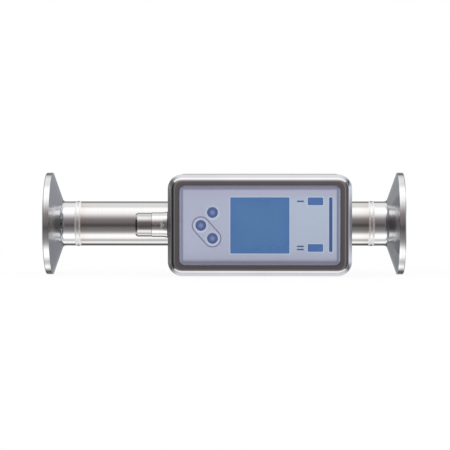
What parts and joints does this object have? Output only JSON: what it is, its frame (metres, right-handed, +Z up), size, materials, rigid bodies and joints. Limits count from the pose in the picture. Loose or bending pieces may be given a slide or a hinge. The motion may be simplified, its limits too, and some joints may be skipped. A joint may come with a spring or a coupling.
{
  "type": "ultrasonic flow meter",
  "caption": "Inline ultrasonic flow meter: straight steel measuring tube with clamp ferrules, a box housing with display, push keys and indicator lights, and a round plug connector.",
  "frame": {"origin": "on the axis of the flow bore, halfway between the two clamp faces", "axes": "+X along the flow from inlet to outlet, -Y out of the display, +Z up"},
  "size_m": [0.177, 0.0572, 0.0505],
  "materials": {
    "tube_steel": "polished",
    "weld_steel": "ground",
    "housing_steel": "polished",
    "connector_steel": "turned",
    "panel_plastic": "satin",
    "display_blue": "satin",
    "indicator_blue": "satin",
    "key_blue": "satin",
    "seal_rubber": "matt",
    "insert_plastic": "matt",
    "pin_brass": "plated",
    "board_green": "coated",
    "screw_steel": "plain",
    "module_glass": "gloss",
    "led_white": "gloss",
    "wedge_plastic": "matt",
    "transducer_ceramic": "matt",
    "yoke_aluminium": "satin",
    "sensor_potting": "matt"
  },
  "bodies": {
    "meter": {"measuring_tube": "tube_steel", "inlet_ferrule": "tube_steel", "outlet_ferrule": "tube_steel", "inlet_weld": "weld_steel", "outlet_weld": "weld_steel", "housing": "housing_steel", "back_cover": "housing_steel", "connector_sleeve": "connector_steel", "connector_nut": "connector_steel", "front_panel": "panel_plastic", "display_window": "display_blue", "upper_indicator_window": "indicator_blue", "lower_indicator_window": "indicator_blue", "status_bar_window": "indicator_blue", "inlet_tube_seal": "seal_rubber", "outlet_tube_seal": "seal_rubber", "panel_gasket": "seal_rubber", "connector_seal": "seal_rubber", "connector_insert": "insert_plastic", "board_header": "insert_plastic", "key_switches": "insert_plastic", "board_components": "insert_plastic", "display_carrier": "insert_plastic", "connector_pins": "pin_brass", "board_spacers": "pin_brass", "display_board": "board_green", "main_board": "board_green", "board_screws": "screw_steel", "yoke_screws": "screw_steel", "display_module": "module_glass", "indicator_leds": "led_white", "upstream_wedge": "wedge_plastic", "downstream_wedge": "wedge_plastic", "upstream_transducer": "transducer_ceramic", "downstream_transducer": "transducer_ceramic", "upstream_yoke": "yoke_aluminium", "downstream_yoke": "yoke_aluminium", "temperature_sensor": "sensor_potting"},
    "enter_key": {"enter_key": "key_blue"},
    "up_key": {"up_key": "key_blue"},
    "down_key": {"down_key": "key_blue"}
  },
  "joints": [
    {"name": "enter_key_press", "type": "slide", "parent": "meter", "child": "enter_key", "axis": [0, 1, 0], "range_m": [0, 0.0004], "stiffness_N_per_m": 500},
    {"name": "up_key_press", "type": "slide", "parent": "meter", "child": "up_key", "axis": [0, 1, 0], "range_m": [0, 0.0004], "stiffness_N_per_m": 500},
    {"name": "down_key_press", "type": "slide", "parent": "meter", "child": "down_key", "axis": [0, 1, 0], "range_m": [0, 0.0004], "stiffness_N_per_m": 500}
  ]
}
